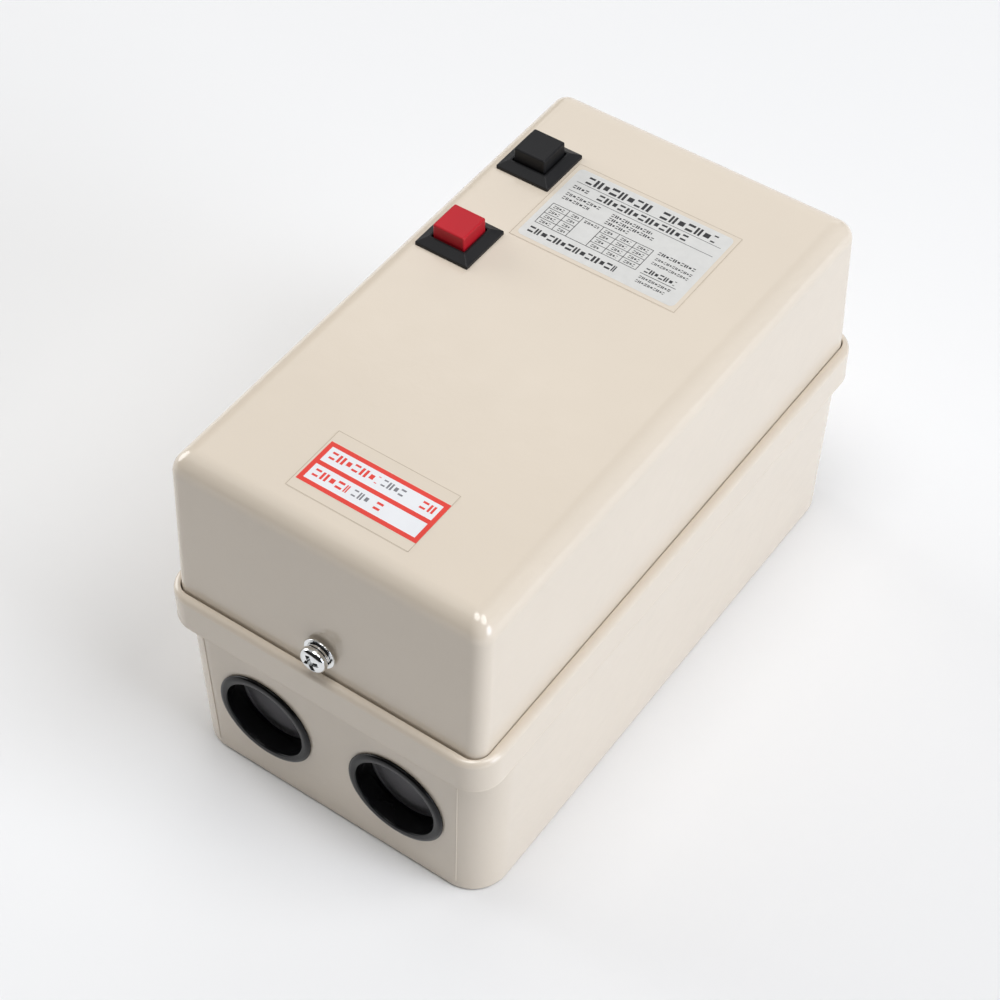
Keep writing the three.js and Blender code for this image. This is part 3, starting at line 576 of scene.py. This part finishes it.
def words(x0, x1, y, high, lengths, gap):
    """Marks in place of a line of print: by turns two level strokes, two upright ones and a block."""
    bars, x, i = [], x0, 0
    low, top = y - high / 2, y + high / 2
    while x < x1 - 0.3:
        wide = min(lengths[i % len(lengths)], x1 - x)
        pen = min(0.3 * high + 0.08, 0.38 * wide)
        if i % 3 == 0:
            bars += [(x, x + wide, low, low + pen), (x, x + wide, top - pen, top)]
        elif i % 3 == 1:
            bars += [(x, x + pen, low, top), (x + wide - pen, x + wide, low, top)]
        else:
            bars.append((x + 0.1 * wide, x + 0.9 * wide, y - 0.3 * high, y + 0.3 * high))
        x += wide + gap
        i += 1
    return bars


def table(x0, x1, y0, y1, columns, rows, line=0.19):
    """The rules of a table, with its columns as shares of its width."""
    edges_x = [x0 + (x1 - x0) * c for c in columns]
    edges_y = [y0 + (y1 - y0) * i / rows for i in range(rows + 1)]
    rules = [(x - line / 2, x + line / 2, y0, y1) for x in edges_x]
    return rules + [(x0, x1, y - line / 2, y + line / 2) for y in edges_y]


def make_name_plate():
    """The silver plate by the buttons, with rows of marks and two tables of marks."""
    x0, x1, y0, y1 = -24.0, 26.2, 29.1, 60.6
    w, l = x1 - x0, y1 - y0
    mid = ((x0 + x1) / 2, (y0 + y1) / 2, 0)
    sheet = [(w + 3, l + 3, 0.5, TOP), (w + 3, l + 3, 0.5, TOP + 0.05), (w + 2.9, l + 2.9, 0.45, FILM_Z)]
    film = loft("name_plate_film", sheet, ["film"], 4, mid)
    piece(film, "cover", ["name_plate"])
    silver = loft("name_plate_print", [(w, l, 1.6, FILM_Z), (w, l, 1.6, PRINT_Z)], ["silver_print"], 8, mid)
    piece(silver, "cover")
    bars = words(x0 + 4.2, x0 + 25.5, 57.6, 2.9, (1.9, 2.2, 1.8, 2.3), 0.6)
    bars += words(x0 + 28.5, x1 - 4.2, 57.6, 2.9, (2.2, 1.8, 2.3), 0.6)
    bars += [(x0 + 2, x1 - 1.6, 55.35, 55.5), (x0 + 2, x1 - 1.6, 51.35, 51.5)]
    bars += words(x0 + 2.4, x0 + 7.4, 53.3, 1.2, (0.9, 1.0), 0.35)
    bars += words(x0 + 10.5, x1 - 11, 53.4, 2.3, (1.7, 1.9, 1.5), 0.55)
    for y, end in ((49.8, 14), (47.9, 11)):
        bars += words(x0 + 2.4, x0 + end, y, 1.1, (0.8, 0.7, 1.0), 0.3)
    for y, end in ((49.6, 30.5), (47.9, 32), (46.2, 25)):
        bars += words(x0 + 17.5, x0 + end, y, 1.1, (0.8, 1.0, 0.7), 0.3)
    left = (x0 + 1.8, x0 + 11.8, 35.4, 44.4)
    right = (x0 + 18.4, x0 + 34.4, 35.4, 44.4)
    bars += table(*left, (0, 0.55, 1), 4) + table(left[1], right[0], 35.4, 44.4, (0, 1), 1)
    bars += table(*right, (0, 0.32, 0.66, 1), 4)
    bars += words(left[1] + 1, right[0] - 1, 43.2, 0.9, (0.8, 0.7), 0.3)
    for row in range(4):
        y = 36.5 + 2.25 * row
        cells = [(left[0] + 0.9, left[0] + 4.6), (left[0] + 6.8, left[1] - 0.9)]
        cells += [(right[0] + 1, right[0] + 4), (right[0] + 6.2, right[0] + 9.4)]
        cells += [(right[0] + 11.6, right[1] - 1)]
        for cell_low, cell_high in cells:
            bars += words(cell_low, cell_high, y, 1.0, (0.7, 0.6), 0.25)
    bars += words(x0 + 36, x1 - 2, 44.3, 1.1, (0.8, 1.0, 0.9), 0.3)
    bars += words(x0 + 36.5, x1 - 1.8, 42.0, 0.9, (0.7, 0.6), 0.25)
    bars += words(x0 + 36.5, x1 - 1.8, 40.2, 0.9, (0.6, 0.7), 0.25)
    bars += words(x0 + 36.6, x1 - 4, 36.9, 1.7, (1.1, 1.2), 0.35)
    bars += [(x0 + 36, x1 - 3, 35.2, 35.4)]
    bars += words(x0 + 36.6, x1 - 3.6, 33.9, 0.9, (0.7, 0.8), 0.25)
    bars += words(x0 + 36.6, x1 - 4.6, 32.1, 0.9, (0.6, 0.8), 0.25)
    bars += words(x0 + 2, x0 + 30, 32.4, 2.3, (1.7, 1.4, 1.9, 1.5), 0.45)
    label_bars("name_plate_marks", "ink", bars, PRINT_Z)
    # A thin dark line round the film: painted shade along the film's edge.
    outline = table(x0 - 1.3, x1 + 1.3, y0 - 1.3, y1 + 1.3, (0, 1), 1, 0.16)
    label_bars("name_plate_edge_shade", "film_edge_shade", outline, FILM_Z)


make_name_plate()


def make_rating_label():
    """The white label at the lower end, with its red frame and rows of marks."""
    x0, x1, y0, y1 = -17.6, 19.4, -74.7, -60.0
    w, l = x1 - x0, y1 - y0
    mid = (0.55, -67, 0)
    sheet = [(38.1, 22, 0.8, TOP), (38.1, 22, 0.8, TOP + 0.05), (38, 21.9, 0.75, FILM_Z)]
    film = loft("rating_label_film", sheet, ["film"], 4, mid)
    piece(film, "cover", ["rating_label"])
    middle = ((x0 + x1) / 2, (y0 + y1) / 2, 0)
    rows = loft("rating_label_print", [(w, l, 0.3, FILM_Z), (w, l, 0.3, PRINT_Z)], ["white_print"], 4, middle)
    piece(rows, "cover")
    bar = 1.35
    frame_bars = [(x0, x1, y1 - bar, y1), (x0, x1, y0, y0 + bar)]
    frame_bars += [(x0, x0 + bar, y0 + bar, y1 - bar), (x1 - bar, x1, y0 + bar, y1 - bar)]
    frame_bars += [(x0 + bar, x1 - bar, middle[1] - bar / 2, middle[1] + bar / 2)]
    text = words(x0 + 2.6, x0 + 17.5, -63.75, 2.5, (1.7, 2.0, 1.6), 0.6)
    text += words(x1 - 6.4, x1 - 2.2, -63.75, 2.5, (1.7,), 0.6)
    text += words(x0 + 2.6, x0 + 13.2, -70.5, 2.5, (1.7, 1.9), 0.6)
    text += words(x0 + 21.5, x0 + 23.4, -70.5, 2.5, (2,), 0.6)
    label_bars("rating_label_frame", "red_ink", frame_bars + text, PRINT_Z)
    stamps = words(x0 + 18.6, x0 + 25.5, -63.6, 2.2, (1.2, 1.4), 0.5)
    stamps += words(x0 + 14.6, x0 + 20, -70.4, 2.2, (1.2,), 0.6)
    label_bars("rating_label_stamp", "grey_ink", stamps, PRINT_Z)
    # A thin dark line round the film: painted shade along the film's edge.
    outline = table(mid[0] - 18.85, mid[0] + 18.85, mid[1] - 10.8, mid[1] + 10.8, (0, 1), 1, 0.16)
    label_bars("rating_label_edge_shade", "film_edge_shade", outline, FILM_Z)


make_rating_label()


# ---------------------------------------------------------------- push-buttons


CAP = 10.2  # width of a button's cap
CAP_RISE = 6.1  # how far its straight sides stand out of the cover


def make_bezel(name, y):
    """A square frame round a button: its face, the sleeve inside it and the part behind the cover."""
    low = TOP + 0.02
    face = [(17.3, 17.3, 0.35, low), (17.3, 17.3, 0.35, TOP + 0.85), (17.16, 17.16, 0.3, TOP + 1.0)]
    face += [(12.35, 12.35, 0.25, TOP + 2.32), (12.1, 12.1, 0.25, TOP + 2.4)]
    face += [(11.15, 11.15, 0.3, TOP + 2.4), (11.0, 11.0, 0.3, TOP + 2.3)]
    inside = [(11.0, 11.0, 0.3, TOP - 3.2), (12.6, 12.6, 0.4, TOP - 3.2), (12.6, 12.6, 0.4, TOP - 13)]
    under = [(14.6, 14.6, 0.6, TOP - 13), (14.6, 14.6, 0.6, low)]
    rings = [ring(*s, 6) for s in face + inside + under]
    n = len(rings[0])
    vertices = [(p[0] + BUTTON_X, p[1] + y, p[2]) for one in rings for p in one]
    faces = []
    for i in range(len(rings)):
        k = (i + 1) % len(rings)
        for j in range(n):
            m = (j + 1) % n
            faces.append((i * n + j, i * n + m, k * n + m, k * n + j))
    frame_ring = mesh_object(f"{name}_bezel_frame", vertices, faces, ["black"])
    return piece(frame_ring, "cover", [f"{name}_bezel"], 25)


def make_button(name, y, material):
    """A button: its cap, the collar that stops it at the bezel, and its stem."""
    at = (BUTTON_X, y, 0)
    shoulder = TOP - 3.3
    outline = (CAP, CAP, 0.5)
    sections = [(*outline, shoulder - 0.5), (*outline, TOP + CAP_RISE)]
    sections += edge(*outline, TOP + CAP_RISE, 0.5, 0.45, 5)[1:]
    sections += [(9.0, 9.0, 0.15, TOP + 6.55), (8.6, 8.6, 0.1, TOP + 6.52)]
    cap = loft("cap", sections, [material], 6, at)
    collar = loft("collar", [(12, 12, 0.4, shoulder - 2), (12, 12, 0.4, shoulder)], [material], 4, at)
    profile = [(0, 84.5), (2.3, 84.5), (2.6, 84.8), (2.6, 109.7), (0, 109.7)]
    stem = turned("stem", profile, [material], 48, Matrix.Translation(at))
    combine(cap, [collar, stem], "UNION")
    cap.name = f"{name}_button_cap"
    return piece(cap, f"{name}_button", [f"{name}_button"])


for name, material, slot in (("start", "black", "black_plastic"), ("stop", "red", "red_plastic")):
    make_bezel(name, BUTTON_Y[name])
    make_button(name, BUTTON_Y[name], material)


def coil_points(radius, wire, low, high, turns, at):
    """A compression spring's line, with close turns at its ends."""
    flat = 1.0  # close turns at each end
    steps = 28
    count = int(turns * steps)
    points = []
    for i in range(count + 1):
        t = i / steps
        share = min(max((t - flat) / (turns - 2 * flat), 0), 1)
        ends = min(t, flat) * 1.9 * wire + max(t - (turns - flat), 0) * 1.9 * wire
        z = low + wire + ends + share * (high - low - 2 * wire - 2 * flat * 1.9 * wire)
        points.append((at[0] + radius * math.cos(TAU * t), at[1] + radius * math.sin(TAU * t), z))
    return points


def make_spring(node, body, radius, wire, low, high, turns, at):
    """A spring on a body, as a round wire along its line; wire is the wire's radius."""
    spring = tube(f"{node}_coil", coil_points(radius, wire, low, high, turns, at), wire, ["spring"], 10)
    piece(spring, body, [node], 50)
    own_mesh(spring)


for name, y in BUTTON_Y.items():
    place = (BUTTON_X, y)
    make_spring(f"{name}_spring", "cover", 4.4, 0.32, 101.2, 109.2, 5.5, place)
make_spring(
    "armature_return_spring", "enclosure", 11.3, 0.5, 29.9, 42.5, 5, CONTACTOR_AT
)


# ---------------------------------------------------------------- cover screw


def cross_cutter(face, depth, half, wide, matrix):
    """A tapered cross recess that goes in from height face."""
    blades = []
    for turn in (0, math.pi / 2):
        corners = []
        levels = [(face + 0.4, half * 1.12, wide * 1.1), (face, half, wide)]
        levels += [(face - depth * 0.7, half * 0.55, wide * 0.8), (face - depth, half * 0.22, wide * 0.5)]
        for z, h, w in levels:
            corners.append([(h, w, z), (-h, w, z), (-h, -w, z), (h, -w, z)])
        vertices = [tuple(matrix @ Matrix.Rotation(turn, 4, "Z") @ Vector(p)) for c in corners for p in c]
        faces = [tuple(range(4))] + [tuple(reversed(range(12, 16)))]
        for i in range(3):
            for j in range(4):
                a, b = i * 4 + j, i * 4 + (j + 1) % 4
                faces.append((a, a + 4, b + 4, b))
        blades.append(mesh_object("blade", vertices, faces))
    return combine(blades[0], [blades[1]], "UNION")


CROSS_TURN = 0.3  # how far the cross stands turned, in radians
OUTWARD = along_y(0, WASHER_Y, SCREW_Z, -1)  # along the cover screw, out of the cover
PITCH = 0.7


def make_cover_screw():
    """The cover screw, with level rings in place of its thread and a cross in its head."""
    under, high, head = 1.9, 2.5, 4.0  # under the head, the head's height and its radius
    profile = [(0, under - 15.9), (1.3, under - 15.9)]
    z = under - 15.5
    while z < under - 3:
        profile += [(1.62, z), (1.9, z + 0.3), (1.9, z + 0.4), (1.62, z + PITCH)]
        z += PITCH
    profile += [(1.75, under - 2), (1.75, under), (head - 0.35, under)]
    profile += arc(head - 0.3, under + 0.3, 0.3, -60, 0, 4)
    profile += arc(head - 1.5, under + high - 1.62, 1.5, 0, 72, 12)
    profile += [(2.2, under + high - 0.09), (1.2, under + high - 0.02), (0, under + high)]
    screw = turned("cover_screw_body", profile, ["zinc"], 72, OUTWARD)
    cutter = cross_cutter(under + high, 1.7, 2.8, 0.72, OUTWARD @ Matrix.Rotation(CROSS_TURN, 4, "Z"))
    combine(screw, [cutter], "DIFFERENCE")
    piece(screw, "cover_screw", ["cover_screw"], 30)


def make_flat_washer():
    """The flat washer against the cover."""
    profile = [(2.15, 0.02), (4.6, 0.02)] + arc(4.65, 0.25, 0.22, -80, 0, 4)
    profile += arc(4.65, 0.55, 0.22, 0, 80, 4) + [(2.15, 0.8), (2.15, 0.02)]
    washer = turned("cover_screw_washer", profile, ["zinc"], 72, OUTWARD)
    piece(washer, "cover_screw", ["cover_screw_flat_washer"], 30)


def make_spring_washer():
    """The split ring between the flat washer and the screw's head."""
    outline = [(2.15, 0.05), (2.2, 0), (3.8, 0), (3.9, 0.1)]
    outline += [(3.9, 0.75), (3.8, 0.85), (2.2, 0.85), (2.15, 0.8)]
    sides, count = len(outline), 60
    half_gap = 0.12  # half the angle of its split
    sections = []
    for i in range(count + 1):
        a = half_gap + (TAU - 2 * half_gap) * i / count
        rise = 0.8 + 0.08 + 0.14 * i / count
        sections.append([(r * math.cos(a), r * math.sin(a), z + rise) for r, z in outline])
    vertices = [tuple(OUTWARD @ Vector(p)) for section in sections for p in section]
    faces = []
    for i in range(count):
        for j in range(sides):
            a, b = i * sides + j, i * sides + (j + 1) % sides
            faces.append((a, a + sides, b + sides, b))
    faces.append(tuple(range(sides)))
    faces.append(tuple(reversed(range(count * sides, count * sides + sides))))
    split = mesh_object("cover_screw_split_ring", vertices, faces, ["zinc"])
    piece(split, "cover_screw", ["cover_screw_spring_washer"], 40)


make_cover_screw()
make_flat_washer()
make_spring_washer()


# ---------------------------------------------------------------- carried-over CAD nodes


def dress(node, material, bevel=0.25):
    """Gives a CAD node its material and small round edges."""
    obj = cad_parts[node]
    obj.data.materials.clear()
    obj.data.materials.append(MATERIALS[material])
    obj.data.polygons.foreach_set("use_smooth", [True] * len(obj.data.polygons))
    obj.modifiers.new("weld", "WELD").merge_threshold = 0.000005
    flat = obj.modifiers.new("flat", "DECIMATE")
    flat.decimate_type = "DISSOLVE"
    flat.angle_limit = math.radians(1)
    round_edges = obj.modifiers.new("edges", "BEVEL")
    round_edges.width = bevel * MM
    round_edges.segments = 2
    round_edges.limit_method = "ANGLE"
    round_edges.angle_limit = math.radians(35)
    weights = obj.modifiers.new("weighted", "WEIGHTED_NORMAL")
    weights.keep_sharp = False


def each_pole(*names):
    """The nodes of the three poles for each name."""
    return tuple(f"{name}_{pole}" for name in names for pole in (1, 2, 3))


DRESSED = {
    "steel": ("catch_tab", "switch_bracket"),
    "zinc": ("catch_tab_screw", *each_pole("line_screw", "load_screw", "relay_screw")),
    "brass": ("cover_screw_nut", *each_pole("line_terminal", "load_terminal", "relay_heater")),
    "black": ("start_spring_plate", "stop_spring_plate"),
    "dark": ("contactor_lower_housing", "relay_housing", "contact_carrier", "start_switch_block",
             "stop_switch_block"),
    "pale": ("contactor_upper_housing", "relay_lid"),
    "iron": ("fixed_core", "moving_core"),
    "bobbin": ("coil_bobbin", "trip_bar", "start_switch_plunger", "stop_switch_plunger"),
    "silver": each_pole("moving_contact"),
    "winding": ("coil_winding",),
    "dial": ("current_dial",),
    "red": ("reset_button",),
    "wire": ("coil_wire",),
}
for material, nodes in DRESSED.items():
    for node in nodes:
        dress(node, material, 0.12 if "screw" in node or "terminal" in node else 0.3)


# ---------------------------------------------------------------- camera, floor and light

AZIMUTH, ELEVATION = math.radians(35.351), math.radians(49.170)
AIM, DISTANCE, LENS = Vector((-0.00897, 0.00042, 0.0408)), 0.70107, 88.72


def make_camera():
    """The camera, which looks at the lower end, the right side and the cover."""
    level = math.cos(ELEVATION)
    back = Vector((math.sin(AZIMUTH) * level, -math.cos(AZIMUTH) * level, math.sin(ELEVATION)))
    data = bpy.data.cameras.new("camera")
    data.lens = LENS
    data.sensor_width = 36
    camera = bpy.data.objects.new("camera", data)
    camera.location = AIM + back * DISTANCE
    camera.rotation_mode = "QUATERNION"
    camera.rotation_quaternion = (-back).to_track_quat("-Z", "Y")
    bpy.context.scene.collection.objects.link(camera)
    bpy.context.scene.camera = camera


def make_floor():
    """A wide white floor just under the part."""
    half, z = 6000, -0.1
    corners = [(-half, -half, z), (half, -half, z), (half, half, z), (-half, half, z)]
    floor = mesh_object("floor", corners, [(0, 1, 2, 3)])
    mat, _, shader = node_material("floor", (0.85, 0.85, 0.852), 0.75)
    shader.inputs["Specular IOR Level"].default_value = 0.2
    floor.data.materials.append(mat)


def area_light(name, place, aim, size, power, color=(1, 1, 1)):
    """A round lamp at a place, turned to aim, with its diameter in metres and power in watts."""
    data = bpy.data.lights.new(name, "AREA")
    data.shape = "DISK"
    data.size = size
    data.energy = power
    data.color = color
    light = bpy.data.objects.new(name, data)
    light.location = place
    light.rotation_mode = "QUATERNION"
    light.rotation_quaternion = (Vector(aim) - Vector(place)).to_track_quat("-Z", "Y")
    bpy.context.scene.collection.objects.link(light)


def make_light():
    """Six soft lamps round the part, in a nearly dark world."""
    world = bpy.data.worlds.new("studio")
    world.use_nodes = True
    back = world.node_tree.nodes["Background"]
    back.inputs["Color"].default_value = (1, 1, 1, 1)
    back.inputs["Strength"].default_value = 0.02
    bpy.context.scene.world = world
    middle = (0, 0, 0.05)
    area_light("overhead_light", (0, -0.38, 2.6), middle, 1.2, 20.5)
    area_light("right_low_light", (2.6, 0.3, 0.75), middle, 1.6, 36, (0.9, 0.97, 1.1))
    area_light("right_high_light", (1.35, 0.3, 2.35), middle, 1.6, 33)
    area_light("left_high_light", (-1.35, 0.2, 2.35), middle, 3.2, 12)
    area_light("left_low_light", (-2.5, 0, 0.8), middle, 1.6, 30)
    area_light("back_light", (-0.9, 2.2, 1.15), middle, 2.6, 14)
    bpy.context.scene.view_settings.view_transform = "Standard"


make_camera()
make_floor()
make_light()
